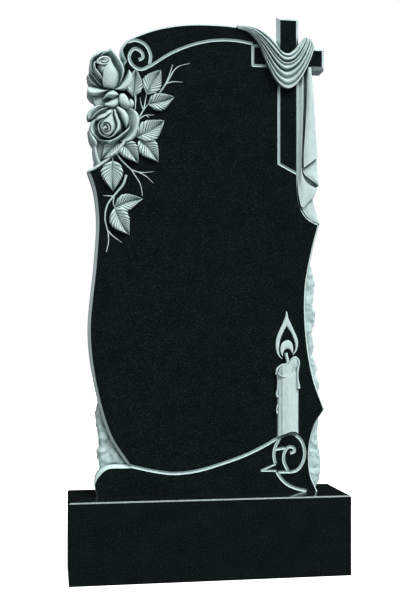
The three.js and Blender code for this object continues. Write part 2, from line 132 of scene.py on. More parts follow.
# Stems and tendrils: the width at the foot, the height of the middle and the [x, z] points, then how
# much narrower the tip is where that isn't the usual share
STEMS = [
    (6, 1, [(-124, 1208), (-111, 1227), (-103, 1244), (-91, 1279)]),
    (4.2, 1, [(-108, 1230), (-98, 1247), (-86, 1267), (-72, 1277), (-48, 1284)]),
    (3.4, 1, [(-106, 1231), (-91, 1236), (-66, 1236)]),
    (6, 1, [(-178, 1138), (-163, 1165), (-150, 1181)]),
    (4.6, 1, [(-164, 1163), (-161, 1180), (-157, 1204)]),
    (3.2, 1, [(-166, 1164), (-171, 1179), (-173, 1193)]),
    (4, 1, [(-175, 1139), (-161, 1149), (-138, 1151)]),
    (3, 1, [(-158, 1150), (-151, 1144)]),
    (8, 1, [(-186, 1205), (-185, 1184), (-186, 1160)]),
    (11, 3, [(-218, 1073), (-233, 1056), (-244, 1047), (-257, 1034), (-273, 1022), (-288, 1012),
             (-302, 1006)], 0.3),
    (9, 8, [(-212, 1084), (-218, 1073), (-233, 1056), (-246, 1045)], 0.2),
    (5.4, 1, [(-232, 1052), (-220, 1036), (-208, 1024), (-195, 1012), (-183, 994), (-173, 978),
              (-167, 948)]),
    (3.4, 1, [(-196, 1013), (-177, 1007), (-161, 1007), (-138, 1010)]),
    (3.4, 1, [(-179, 1008), (-158, 997), (-140, 981)]),
    (7.5, 1, [(-208, 999), (-215, 977), (-229, 958), (-241, 943), (-253, 927), (-259, 908), (-260, 886),
              (-256, 868), (-252, 849), (-252, 831), (-257, 807)]),
    (3.2, 1, [(-239, 946), (-249, 946), (-265, 947)]),
    (5, 1, [(-238, 945), (-240, 930), (-235, 914)]),
    (3.6, 1, [(-254, 861), (-242, 848), (-218, 831)]),
    (6, 2, [(-226, 1068), (-241, 1046), (-241, 1030)]),
]

# Leaves: base, tip, width, height and the sideways bow of the midrib
LEAVES = [
    ((-156, 1202), (-121, 1264), 48, 11, 3),
    ((-153, 1178), (-87, 1198), 44, 11, -3),
    ((-190, 1195), (-184, 1264), 42, 11, 0),
    ((-182, 1095), (-112, 1138), 54, 12, -4),
    ((-175, 1090), (-128, 1034), 50, 10, 3),
    ((-222, 1082), (-178, 1029), 46, 12, 3),
    ((-222, 1084), (-268, 1036), 42, 11, -2),
    ((-241, 1034), (-240, 958), 54, 11, -3),
    ((-236, 917), (-166, 941), 42, 10, 4),
    ((-236, 917), (-200, 850), 50, 11, -4),
]
# Left of this the leaves overhang the slab's edge, and they are rooted this deep in the split rock
OVERHANG = -215
LEAF_ROOT = 24

# Petals: their two long edges as [x, z] curves from the rose's centre, the heights across from the
# first to the second, and how much of its height a petal keeps at its two ends
TOOL_MARK = 0.35
UPPER_CENTRE = (-250, 1237)
LOWER_CENTRE = (-240, 1095)
UPPER_ROSE = [
    ([(-17, 59), (-21, 52), (-28, 44), (-37, 39), (-40, 31), (-39, 22), (-32, 13), (-27, 7)],
     [(-5, 69), (-16, 68), (-26, 64), (-36, 57), (-45, 47), (-48, 37), (-49, 26), (-49, 18), (-46, 11)],
     [3, 5, 9, 13, 12, 5], 0.5),
    ([(-17, 47), (-9, 51), (-1, 51), (4, 47), (9, 38), (14, 29), (20, 19), (23, 11), (23, 2), (22, -6),
      (21, -12), (19, -19)],
     [(-25, 50), (-17, 62), (-5, 69), (3, 75), (11, 68), (19, 59), (25, 50), (32, 40), (36, 30), (38, 19),
      (36, 8), (33, 0), (29, -9), (23, -19)], [0, 1, 3, 7, 13, 16, 13, 3], 0.6),
    ([(-35, 44), (-25, 41), (-18, 23), (-12, 3), (-12, -15)],
     [(-42, 33), (-42, 19), (-36, 5), (-26, -7), (-16, -17)], [2, 3, 6, 9], 0.5),
    ([(-42, 21), (-36, 12), (-27, 3), (-21, -4), (-16, -9), (-11, -18)],
     [(-50, 15), (-47, 9), (-41, 1), (-34, -9), (-26, -17), (-19, -23)], [5, 2, 3, 6, 10, 11, 5], 0.4),
    ([(-48, 11), (-43, 3), (-37, -6), (-30, -13), (-24, -19), (-16, -24)],
     [(-55, 4), (-52, -2), (-48, -10), (-41, -16), (-34, -20), (-25, -24)], [3, 0, 1, 4, 8, 9, 4], 0.4),
    ([(-53, 2), (-48, -8), (-41, -15), (-32, -20), (-21, -23), (-8, -24)],
     [(-54, -1), (-52, -9), (-48, -17), (-40, -23), (-27, -26), (-8, -27)], [5, 2, -3, -9], 0.4),
    ([(-32, 39), (-38, 37), (-42, 29), (-41, 20), (-37, 10), (-30, 1), (-23, -5), (-16, -9)],
     [(-29, 34), (-33, 31), (-34, 25), (-31, 18), (-24, 11), (-18, 3), (-14, -4), (-15, -9)],
     [8, 17, 21, 22, 19, 9], 0.75),
    ([(-53, -22), (-42, -24), (-26, -25), (-13, -27), (1, -29)],
     [(-54, -40), (-48, -43), (-40, -45), (-29, -43), (-18, -39), (-9, -35), (1, -30)],
     [3, 7, 11, 14, 15, 12], 0.6),
    ([(47, 22), (41, 7), (36, -2), (30, -10), (25, -17), (18, -23), (11, -27)],
     [(49, 23), (57, 12), (58, 1), (55, -11), (49, -21), (40, -28), (28, -30), (12, -28)],
     [5, 10, 13, 14, 13, 8], 0.4),
    ([(-54, -38), (-48, -40), (-40, -43), (-28, -40), (-17, -38), (-9, -41), (-5, -49)],
     [(-54, -42), (-48, -51), (-42, -56), (-37, -59), (-32, -67), (-22, -73), (-5, -69)],
     [4, -7, -13, -15], 0.6),
    ([(-12, -63), (-3, -59), (7, -52), (15, -48), (23, -45)],
     [(-12, -69), (-2, -73), (10, -76), (19, -71), (24, -64)], [6, 10, 12, 11, 5], 0.4),
    ([(22, -49), (27, -39), (36, -38), (42, -43), (46, -49), (50, -57)],
     [(23, -60), (28, -68), (36, -73), (44, -74), (50, -73), (54, -68)], [9, 13, 14, 12, 6], 0.5),
    ([(49, -53), (46, -58), (47, -65), (51, -73)],
     [(53, -48), (60, -55), (61, -63), (57, -72)], [7, 11, 11, 5], 0.4),
    ([(-16, -51), (-10, -42), (-2, -33), (8, -30), (16, -33), (24, -40)],
     [(-16, -56), (-8, -51), (-1, -50), (8, -51), (16, -48), (24, -42)], [8, 13, 17, 18, 15, 8], 0.4),
]
# The closed bud stands in the upper rose, one petal lapped over the other, with a coiled top
UPPER_BUD = [
    ([(-29, 38), (-36, 31), (-36, 23), (-31, 13), (-23, 2), (-17, -8), (-15, -18), (-12, -27)],
     [(1, 48), (4, 41), (10, 29), (15, 19), (18, 10), (19, 1), (18, -9), (15, -18), (10, -27)],
     [4, 12, 18, 21, 22, 21, 18, 12, 5], 0.55),
    ([(0, 46), (-4, 35), (-10, 25), (-13, 17), (-15, 7), (-16, -2), (-17, -12), (-14, -25)],
     [(2, 49), (6, 42), (13, 30), (20, 20), (24, 11), (25, 2), (24, -8), (21, -18), (14, -28)],
     [23, 25, 26, 25, 23, 19, 12, 5], 0.6),
    ([(-34, 33), (-30, 40), (-23, 46), (-12, 49), (-2, 47), (4, 42)],
     [(-31, 31), (-24, 29), (-16, 28), (-7, 29), (0, 33), (3, 40)], [23, 24, 24, 24, 24], 0.85),
]
LOWER_ROSE = [
    ([(-50, -17), (-51, -37), (-48, -59), (-42, -75)],
     [(-41, -17), (-39, -39), (-34, -55), (-29, -67)], [-2, 4, 8, 7, 0], 0.6),
    ([(-53, 41), (-48, 49), (-41, 55), (-33, 62), (-26, 67), (-16, 71)],
     [(-62, 38), (-65, 49), (-61, 58), (-54, 66), (-45, 72), (-35, 74), (-22, 74)], [1, 3, 6, 8, 3], 0.5),
    ([(-45, 42), (-36, 49), (-28, 54), (-19, 59), (-12, 67)],
     [(-55, 38), (-49, 50), (-39, 59), (-28, 66), (-14, 70)], [3, 5, 8, 12, 6], 0.5),
    ([(31, 67), (35, 61), (39, 51), (40, 41), (42, 32), (41, 22), (36, 12), (26, 1), (16, -11)],
     [(44, 70), (53, 65), (60, 58), (65, 45), (65, 33), (63, 20), (59, 8), (52, -5), (42, -14), (29, -15),
      (16, -15)], [1, 3, 6, 10, 13, 13, 6], 0.6),
    ([(-22, 37), (-33, 26), (-36, 16), (-33, 8), (-27, 0), (-20, -6), (-12, -9), (-4, -9)],
     [(-43, 42), (-53, 33), (-58, 23), (-60, 14), (-57, 4), (-49, -4), (-40, -13), (-30, -17)],
     [2, 1, 3, 8, 12, 6], 0.7),
    ([(8, 65), (12, 45), (16, 29), (14, 13), (0, -1)],
     [(30, 65), (40, 45), (42, 27), (34, 9), (14, -5)], [2, 0, 0, 2], 0.8),
    ([(-63, 11), (-61, -3), (-58, -16), (-51, -27), (-44, -35)],
     [(-60, 11), (-58, -2), (-53, -13), (-47, -23), (-41, -31)], [-8, -1, 4, 7], 0.4),
    ([(-61, 12), (-60, 0), (-56, -12), (-49, -22), (-43, -29)],
     [(-56, 11), (-51, 2), (-44, -5), (-39, -12), (-37, -18), (-41, -29)], [7, 12, 13, 10, 3], 0.4),
    ([(41, 21), (36, 10), (26, 1), (18, -8), (9, -14), (-1, -18), (-9, -21), (-17, -18), (-28, -15),
      (-37, -13)],
     [(39, 5), (27, -6), (17, -14), (5, -20), (-9, -29), (-17, -25), (-29, -22), (-39, -16)],
     [9, 5, 0, -3], 0.5),
    ([(-45, 40), (-39, 47), (-30, 52), (-21, 56), (-15, 62), (-9, 65), (0, 65)],
     [(-41, 32), (-30, 35), (-22, 38), (-15, 43), (-7, 49), (0, 56)], [6, 13, 18, 21, 20, 12], 0.5),
    ([(6, 67), (9, 58), (14, 50), (18, 40), (23, 32), (28, 24), (32, 19)],
     [(10, 74), (18, 70), (27, 64), (34, 56), (38, 46), (38, 38), (36, 29), (33, 19)],
     [9, 17, 20, 20, 17, 9], 0.45),
    ([(-1, 62), (-1, 49), (2, 39), (6, 28), (6, 18), (2, 8), (-5, -2), (-14, -6), (-22, -3), (-30, 3),
      (-35, 14), (-36, 21), (-33, 28), (-26, 34), (-16, 41)],
     [(6, 64), (10, 54), (15, 42), (19, 32), (19, 21), (17, 12), (9, 2), (-2, -7), (-12, -10), (-24, -7),
      (-34, 0), (-39, 11), (-40, 20), (-36, 31), (-29, 37), (-16, 44)], [13, 19, 21, 20, 16, 8], 0.8),
    ([(-2, 59), (-8, 51), (-16, 44), (-24, 38), (-31, 32), (-35, 24), (-36, 16), (-32, 7), (-25, -1),
      (-16, -5)],
     [(-1, 59), (-1, 48), (1, 39), (4, 30), (5, 21), (4, 13), (0, 5), (-7, -2), (-15, -5)],
     [14, 21, 24, 25, 24, 21, 14], 0.7),
    ([(42, 29), (38, 22), (29, 12), (19, 5), (9, -3), (-1, -9), (-11, -12), (-24, -13), (-38, -11)],
     [(42, 23), (37, 10), (27, 1), (18, -8), (9, -15), (-1, -19), (-9, -24), (-17, -19), (-28, -16),
      (-38, -14)], [11, 18, 21, 20, 15, 6], 0.5),
]
ROSE_GROUND = [(-296, 1262), (-290, 1290), (-262, 1300), (-240, 1305), (-222, 1278), (-205, 1250),
               (-197, 1240), (-200, 1214), (-196, 1180), (-192, 1160), (-182, 1150), (-182, 1110),
               (-200, 1086), (-240, 1076), (-262, 1050), (-283, 1022), (-287, 1056), (-292, 1078),
               (-298, 1100), (-294, 1130), (-296, 1150), (-282, 1164), (-290, 1184), (-298, 1200),
               (-296, 1215), (-298, 1235)]
GROUND_HEIGHT = -1.5

# Coils cut into the hearts of the roses: half width, the rose's centre, then the points from it
COIL_HEIGHT = 24
COILS = [
    (2.8, LOWER_CENTRE, [(-3, 59), (-3, 47), (0, 37), (2, 27), (2, 17), (-2, 7), (-9, -1), (-17, -3),
                         (-25, 1), (-32, 10), (-33, 18), (-29, 24), (-22, 27), (-14, 26), (-9, 20),
                         (-8, 12), (-13, 6), (-18, 5), (-24, 6), (-28, 11), (-28, 17), (-25, 21), (-20, 22),
                         (-16, 18), (-15, 13), (-19, 10), (-22, 13)]),
    (1.5, UPPER_CENTRE, [(-27, 35), (-21, 41), (-13, 44), (-5, 43), (-3, 38), (-8, 33), (-16, 32),
                         (-21, 35), (-18, 39), (-12, 40), (-9, 38)]),
]

# The cloth: edges, where the valleys between its folds lie across it, and how deep they are
SWAG_INNER = [(74, 1386), (118, 1381), (150, 1366), (172, 1345), (187, 1324), (204, 1319), (220, 1329),
              (234, 1348), (244, 1360)]
SWAG_OUTER = [(74, 1378), (100, 1370), (128, 1342), (142, 1309), (155, 1281), (170, 1254), (187, 1236),
              (204, 1230), (220, 1237), (236, 1256), (252, 1284), (265, 1315), (272, 1338), (266, 1354)]
SWAG_FOLDS = [(0, 4), (0.15, 5), (0.325, 9), (0.43, 4), (0.575, 9), (0.76, 5.5), (0.92, 4.5), (1, 0)]
SWAG_RISE = 18
SWAG_ROOT = -20
CLOTH_SLACK = 0.8

# The hanging end of the cloth, from its ground up: two long edges, the heights across it at its
# upper and its lower end, and how late the one gives way to the other
TAIL_LAYERS = {
    "ground": ([(231, 1286), (230, 1200), (230, 1080), (230, 1000), (232, 965), (238, 940), (248, 918),
                (262, 900), (286, 884)],
               [(265, 1286), (271, 1225), (279, 1110), (285, 1000), (284, 984), (270, 977), (282, 973),
                (272, 957), (278, 926), (284, 905), (290, 887)], [-2, -3], [-3, -4], 1),
    "left band": ([(231, 1286), (230, 1200), (230, 1080), (230, 1000), (232, 965), (238, 938)],
                  [(247, 1286), (246, 1196), (244, 1123), (242, 1050), (242, 1015), (246, 1000)],
                  [-1, -3, -2, 0, 2, 3, 1], [-1, -2, -1, 0, 2, 4, 4], 1),
    "lower cloth": ([(242, 1030), (242, 1016), (246, 1004), (255, 991), (268, 983), (284, 977)],
                    [(232, 1012), (232, 985), (234, 958), (243, 928), (258, 942), (272, 955)],
                    [5, 3, -1, -5, -6], [6, 7, 8, 8, 7], 0.5),
    "lowest corner": ([(238, 938), (246, 921), (258, 905), (273, 894), (289, 886)],
                      [(272, 957), (273, 944), (277, 928), (283, 908), (290, 888)],
                      [-2, -1, 0, -1, -2], [-2, -1, -1, -1, -2], 1),
    "right cloth": ([(254, 1286), (253, 1196), (249, 1123), (245, 1050), (245, 1024), (249, 1013),
                     (261, 1003), (274, 993), (284, 983)],
                    [(265, 1286), (271, 1210), (275, 1150), (279, 1090), (281, 1054), (283, 1020),
                     (285, 1005), (285, 994), (286, 984)], [0, 0, 0, 0, 0], [6, 8, 9, 8, 6], 5),
    "upper cloth": ([(254, 1286), (253, 1196), (249, 1123), (245, 1060), (245, 1029)],
                    [(265, 1286), (271, 1210), (275, 1150), (278, 1100), (281, 1056)],
                    [7, 10, 11, 10, 8], [11, 13, 13, 12, 11], 1),
}
# The cloth hangs right of this and above this, and hides the split rock there
CLOTH_LEFT = 225
CLOTH_FOOT = 900

# The candle, its runs of wax, its wick and its flame with its glow. The sizes of the round parts, and
# the numbers before each run of wax, are a radius and the height of the middle.
CANDLE_LEFT = 177
CANDLE_RIGHT = 233
CANDLE_FOOT = [(177, 343), (186, 347), (198, 352), (212, 356), (225, 355), (233, 349)]
CANDLE_PROFILE = [(0, 1), (0.05, 6), (0.16, 8), (0.22, 11), (0.5, 13), (0.74, 12.5), (0.8, 9.5), (0.86, 9),
                  (0.93, 8.5), (1, 1)]
CANDLE_RIM = [(174, 502), (175, 513), (180, 520), (188, 525), (198, 527), (207, 531), (215, 541),
              (223, 545), (231, 539), (233, 530), (231, 518), (229, 504)]
CANDLE_LIP = [(177, 506), (182, 500), (190, 496), (198, 496), (207, 501), (216, 512), (222, 524)]
RIM_SIZE = (2.5, 6.5)
LIP_SIZE = (1.8, 11)
WICK_SIZE = (4.2, 5)
WAX_RUNS = [
    (3.6, 9, [(229, 520), (228, 504), (229, 487), (231, 474), (231, 466)]),
    (2.6, 5, [(177, 505), (178, 480), (177, 462), (175, 452), (177, 444)]),
    (2.2, 5, [(178, 425), (175, 412), (177, 402)]),
]
WICK = [(199, 556), (201, 547), (204, 533), (203, 519), (199, 505)]
BAND_RISE = 2
FLAMES = {
    "flame": ([(190, 541), (183, 546), (177, 555), (174, 567), (174, 586), (179, 604), (190, 628),
               (198, 648), (202, 663), (207, 645), (217, 623), (226, 604), (232, 586), (231, 570),
               (226, 558), (218, 551)],
              [(191, 542), (185, 549), (182, 561), (183, 577), (186, 592), (193, 609), (199, 620),
               (202, 625), (207, 618), (214, 608), (221, 591), (225, 577), (224, 564), (217, 552)]),
    "glow": ([(191, 548), (186, 558), (186, 570), (190, 581), (198, 587), (206, 589), (215, 583),
              (219, 572), (219, 561), (217, 556)],
             [(192, 549), (194, 558), (198, 565), (206, 567), (212, 563), (216, 556)]),
}

# Lamps: strength, width in degrees and the way to them; only the key shows in the polish
LAMPS = [
    ("key", 3.9, 28, (0.42, -0.52, 0.74)),
    ("front", 1.0, 60, (-0.3, -0.86, 0.42)),
]
# The dim fill from all round, and how much of it shows in the polish
FILL = 0.15
FILL_IN_POLISH = 0.008


def at(x, z, height):
    """The place, in metres, of a point given in face coordinates"""
    return Vector((x * MM, (FACE_Y - height) * MM, z * MM))


FACE_FRAME = Matrix(((MM, 0, 0, 0), (0, 0, -MM, FACE_Y * MM), (0, MM, 0, 0), (0, 0, 0, 1)))


def evenly(points, spacing=None, count=None):
    """The same run of points, spread evenly along its length"""
    lengths = [0]
    for a, b in zip(points, points[1:]):
        lengths.append(lengths[-1] + math.dist(a, b))
    count = count or max(2, round(lengths[-1] / spacing))
    spread, k = [], 0
    for i in range(count + 1):
        goal = lengths[-1] * i / count
        while k + 2 < len(points) and lengths[k + 1] < goal:
            k += 1
        span = lengths[k + 1] - lengths[k]
        t = (goal - lengths[k]) / span if span > 0 else 0
        spread.append(tuple(p + (q - p) * t for p, q in zip(points[k], points[k + 1])))
    return spread


def smooth(points, spacing=None, count=None, closed=False):
    """An evenly spaced smooth curve through the points: a centripetal Catmull-Rom spline"""
    steps = 12
    points = [Vector(p) for p in points]
    if closed:
        knots = [points[-1], *points, points[0], points[1]]
    else:
        knots = [2 * points[0] - points[1], *points, 2 * points[-1] - points[-2]]
    fine = []
    for p0, p1, p2, p3 in zip(knots, knots[1:], knots[2:], knots[3:]):
        t1 = max((p1 - p0).length, 1e-6) ** 0.5
        t2 = t1 + max((p2 - p1).length, 1e-6) ** 0.5
        t3 = t2 + max((p3 - p2).length, 1e-6) ** 0.5
        for step in range(steps):
            t = t1 + (t2 - t1) * step / steps
            a1 = p0 * (1 - t / t1) + p1 * (t / t1)
            a2 = p1 * ((t2 - t) / (t2 - t1)) + p2 * ((t - t1) / (t2 - t1))
            a3 = p2 * ((t3 - t) / (t3 - t2)) + p3 * ((t - t2) / (t3 - t2))
            b1 = a1 * ((t2 - t) / t2) + a2 * (t / t2)
            b2 = a2 * ((t3 - t) / (t3 - t1)) + a3 * ((t - t1) / (t3 - t1))
            fine.append(tuple(b1 * ((t2 - t) / (t2 - t1)) + b2 * ((t - t1) / (t2 - t1))))
    fine.append(tuple(knots[-2]))
    spread = evenly(fine, spacing, count)
    return spread[:-1] if closed else spread


def blend_heights(heights, t):
    """The height at t, from 0 to 1, on a smooth curve through evenly spaced heights"""
    place = min(max(t, 0), 1) * (len(heights) - 1)
    k = min(int(place), len(heights) - 2)
    s = place - k
    before = heights[max(k - 1, 0)]
    after = heights[min(k + 2, len(heights) - 1)]
    a, b = heights[k], heights[k + 1]
    return a + 0.5 * s * (b - before + s * (2 * before - 5 * a + 4 * b - after
                                            + s * (3 * (a - b) + after - before)))


def along_profile(profile, t):
    """The height at t between (place, height) pairs, eased from one pair to the next"""
    for (p, a), (q, b) in zip(profile, profile[1:]):
        if t <= q:
            s = (t - p) / (q - p)
            return a + (b - a) * s * s * (3 - 2 * s)
    return profile[-1][1]


def inset(outline, widths):
    """Moves a closed outline inwards by a width at each point, and gathers the points that would cross"""
    longest_reach, least_gap = 2.2, 0.8
    count = len(outline)
    corners = [Vector(p) for p in outline]
    edges = list(zip(corners, corners[1:] + corners[:1]))
    turn = sum(a[0] * b[1] - b[0] * a[1] for a, b in zip(outline, outline[1:] + outline[:1]))
    side = 1 if turn > 0 else -1

    def inward(edge):
        return Vector((-edge.y, edge.x)).normalized() * side

    def clear(q, width):
        nearest = 1e9
        for a, b in edges:
            span = b - a
            t = max(0, min(1, (q - a).dot(span) / span.length_squared))
            nearest = min(nearest, (q - a - span * t).length_squared)
        return nearest > (width * least_gap) ** 2

    moved = []
    for i, p in enumerate(corners):
        after = inward(corners[(i + 1) % count] - p)
        normal = (inward(p - corners[i - 1]) + after).normalized()
        reach = min(1 / max(normal.dot(after), 0.01), longest_reach)
        moved.append(p + normal * widths[i] * reach)
    good = [clear(q, width) for q, width in zip(moved, widths)]
    start = good.index(True)
    lost = []
    last = start
    for i in [(start + k) % count for k in range(1, count + 1)]:
        if not good[i]:
            lost.append(i)
            continue
        for k in lost:
            moved[k] = (moved[last] + moved[i]) / 2
        lost = []
        last = i
    return [tuple(p) for p in moved]


def added(name, data):
    """A new object in the scene"""
    thing = bpy.data.objects.new(name, data)
    bpy.context.scene.collection.objects.link(thing)
    return thing


def plain_mesh(piece):
    """What an object's modifiers make of it, as a plain mesh in place of the object"""
    seen = piece.evaluated_get(bpy.context.evaluated_depsgraph_get())
    mesh = bpy.data.meshes.new_from_object(seen)
    bpy.data.objects.remove(piece)
    return mesh


def faced_outwards(mesh):
    """The mesh with its doubles merged and every face turned outwards"""
    shape = bmesh.new()
    shape.from_mesh(mesh)
    bmesh.ops.remove_doubles(shape, verts=shape.verts, dist=MERGE * MM)
    bmesh.ops.recalc_face_normals(shape, faces=shape.faces)
    if shape.calc_volume(signed=True) < 0:
        bmesh.ops.reverse_faces(shape, faces=shape.faces)
    shape.to_mesh(mesh)
    shape.free()
    return mesh


def mesh_of(name, verts, faces):
    """A closed mesh from its corners and faces"""
    mesh = bpy.data.meshes.new(name)
    mesh.from_pydata(verts, [], faces)
    return faced_outwards(mesh)


def loft(name, rings):
    """A solid through rings of [x, z, height] points of equal count, capped at both ends"""
    count = len(rings[0])
    verts = [at(*p) for points in rings for p in points]
    faces = []
    for k in range(len(rings) - 1):
        for i in range(count):
            j = (i + 1) % count
            faces.append((k * count + i, k * count + j, (k + 1) * count + j, (k + 1) * count + i))
    faces.append(tuple(range(count)))
    faces.append(tuple(len(verts) - count + i for i in range(count)))
    return mesh_of(name, verts, faces)


def plate(name, outline, front, back, widths):
    """A flat plate with a chamfered front edge, which stays square where it stands on the plinth"""
    inner = [(x, FOOT if abs(old[1] - FOOT) < 0.01 else z)
             for (x, z), old in zip(inset(outline, widths), outline)]
    return loft(name, [[(x, z, front) for x, z in inner],
                       [(x, z, front - width) for (x, z), width in zip(outline, widths)],
                       [(x, z, back) for x, z in outline]])


def relief(name, grid, depth):
    """A solid under a grid of [x, z, height] points, closed by the same grid laid flat at a depth"""
    rows, columns = len(grid), len(grid[0])
    front = [p for row in grid for p in row]
    verts = [at(*p) for p in front] + [at(x, z, depth) for x, z, _ in front]
    total = len(front)
    faces = []
    for i in range(rows - 1):
        for j in range(columns - 1):
            a = i * columns + j
            quad = (a, a + 1, a + columns + 1, a + columns)
            faces.append(quad)
            faces.append(tuple(total + k for k in reversed(quad)))
    border = list(range(columns)) + [i * columns + columns - 1 for i in range(1, rows)]
    border += [(rows - 1) * columns + j for j in range(columns - 2, -1, -1)]
    border += [i * columns for i in range(rows - 2, 0, -1)]
    for a, b in zip(border, border[1:] + border[:1]):
        faces.append((b, a, total + a, total + b))
    return mesh_of(name, verts, faces)


def between(a, b, share):
    """The point a share of the way from one point to the other"""
    return a[0] + (b[0] - a[0]) * share, a[1] + (b[1] - a[1]) * share


def span_relief(name, one, two, columns, height, depth):
    """A solid under the surface between two curves, with height(along, across) above the face"""
    last = len(one) - 1
    grid = [[(*between(a, b, j / columns), height(i / last, j / columns)) for j in range(columns + 1)]
            for i, (a, b) in enumerate(zip(one, two))]
    return relief(name, grid, depth)


def petal(name, first, second, heights, ends):
    """A petal between two long edges, domed or cupped across, with fine tool marks along it"""
    rows = max(8, len(smooth(first, ROW)), len(smooth(second, ROW)))
    one = smooth(first, count=rows)
    two = smooth(second, count=rows)
    width = max(math.dist(a, b) for a, b in zip(one, two))
    columns = max(8, min(26, round(width / 1.4)))

    def height(u, v):
        rise = blend_heights(heights, v)
        if rise > 0:
            rise *= ends + (1 - ends) * math.sqrt(max(0, math.sin(math.pi * u)))
        return rise + TOOL_MARK * noise.noise(Vector((u * rows * 0.5, v * 1.6, heights[0])))

    return span_relief(name, one, two, columns, height, PETAL_ROOT)


def cloth_layer(name, first, second, upper, lower, late):
    """One layer of hanging cloth, whose heights across change from its upper to its lower end"""
    rows, columns = len(smooth(first, ROW)), 18

    def height(u, v):
        share = u ** late
        slack = CLOTH_SLACK * noise.noise(Vector((u * 5, v * 2.5, 7)))
        return blend_heights(upper, v) * (1 - share) + blend_heights(lower, v) * share + slack

    return span_relief(name, smooth(first, count=rows), smooth(second, count=rows), columns, height,
                       CLOTH_ROOT)


def flat_band(name, outer, inner):
    """A flat band between two curves that meet at their ends, standing a little proud"""
    rows, columns = 90, 6

    def height(u, v):
        return BAND_RISE * min(1, 0.3 + 5 * min(v, 1 - v))

    return span_relief(name, smooth(outer, count=rows), smooth(inner, count=rows), columns, height, EMBED)


def node(tree, kind, links=None, **values):
    """A new node of any tree, with its values set and its inputs linked or set by name or number"""
    made = tree.nodes.new(kind)
    for label, value in values.items():
        setattr(made, label, value)
    for label, value in (links or {}).items():
        slot = made.inputs[label]
        if isinstance(value, bpy.types.NodeSocket):
            tree.links.new(value, slot)
        else:
            slot.default_value = value
    return made


class Reckon:
    """A number worked out by the nodes of a tree, written with the usual signs of arithmetic"""

    def __init__(self, tree, socket):
        self.tree = tree
        self.socket = socket

    def made(self, operation, *others, first=None):
        """The result of a Math node on this number and the others, or with another one first"""
        terms = [self, *others] if first is None else [first, self]
        inputs = {k: term.socket if isinstance(term, Reckon) else term for k, term in enumerate(terms)}
        return Reckon(self.tree, node(self.tree, "ShaderNodeMath", inputs, operation=operation).outputs[0])

    def __add__(self, other):
        return self.made("ADD", other)

    def __sub__(self, other):
        return self.made("SUBTRACT", other)

    def __rsub__(self, other):
        return self.made("SUBTRACT", first=other)

    def __mul__(self, other):
        return self.made("MULTIPLY", other)

    def __pow__(self, other):
        return self.made("POWER", other)

    __radd__ = __add__
    __rmul__ = __mul__


def new_tree(name, sizes):
    """A geometry tree with a geometry in and out, and one named input for each size"""
    tree = bpy.data.node_groups.new(name, "GeometryNodeTree")
    tree.interface.new_socket("Geometry", in_out="INPUT", socket_type="NodeSocketGeometry")
    for label, value in sizes.items():
        kind = "NodeSocketInt" if isinstance(value, int) else "NodeSocketFloat"
        tree.interface.new_socket(label, in_out="INPUT", socket_type=kind).default_value = value
    tree.interface.new_socket("Material", in_out="INPUT", socket_type="NodeSocketMaterial")
    tree.interface.new_socket("Geometry", in_out="OUTPUT", socket_type="NodeSocketGeometry")
    return tree, tree.nodes.new("NodeGroupInput")


def end_tree(tree, given, geometry, x, y, z):
    """Moves every point to the place worked out for it, realizes the result and gives it its material"""
    place = node(tree, "ShaderNodeCombineXYZ", {0: x.socket, 1: y.socket, 2: z.socket})
    moved = node(tree, "GeometryNodeSetPosition", {"Geometry": geometry,
                                                   "Position": place.outputs["Vector"]})
    real = node(tree, "GeometryNodeRealizeInstances", {"Geometry": moved.outputs["Geometry"]})
    finish = node(tree, "GeometryNodeSetMaterial", {"Geometry": real.outputs["Geometry"],
                                                    "Material": given.outputs["Material"]})
    node(tree, "NodeGroupOutput", {"Geometry": finish.outputs["Geometry"]})
    return tree


def point_axes(tree):
    """The three coordinates of the points that the tree works on"""
    place = node(tree, "GeometryNodeInputPosition")
    split = node(tree, "ShaderNodeSeparateXYZ", {"Vector": place.outputs["Position"]})
    return [Reckon(tree, socket) for socket in split.outputs]


def sweep_tree():
    """Sweeps a section with a few or many sides along a curve whose radius is the half width"""
    tree, given = new_tree("sweep", {"Spacing": 2.0, "Sides": 10, "Flatten": 1.0})
    even = node(tree, "GeometryNodeResampleCurve", {"Curve": given.outputs["Geometry"],
                                                    "Length": given.outputs["Spacing"]}, mode="LENGTH")
    section = node(tree, "GeometryNodeCurvePrimitiveCircle", {"Resolution": given.outputs["Sides"]})
    radius = node(tree, "GeometryNodeInputRadius")
    body = node(tree, "GeometryNodeCurveToMesh", {
        "Curve": even.outputs["Curve"], "Profile Curve": section.outputs["Curve"],
        "Scale": radius.outputs["Radius"], "Fill Caps": True})
    x, y, z = point_axes(tree)
    return end_tree(tree, given, body.outputs["Mesh"], x, y, z * Reckon(tree, given.outputs["Flatten"]))


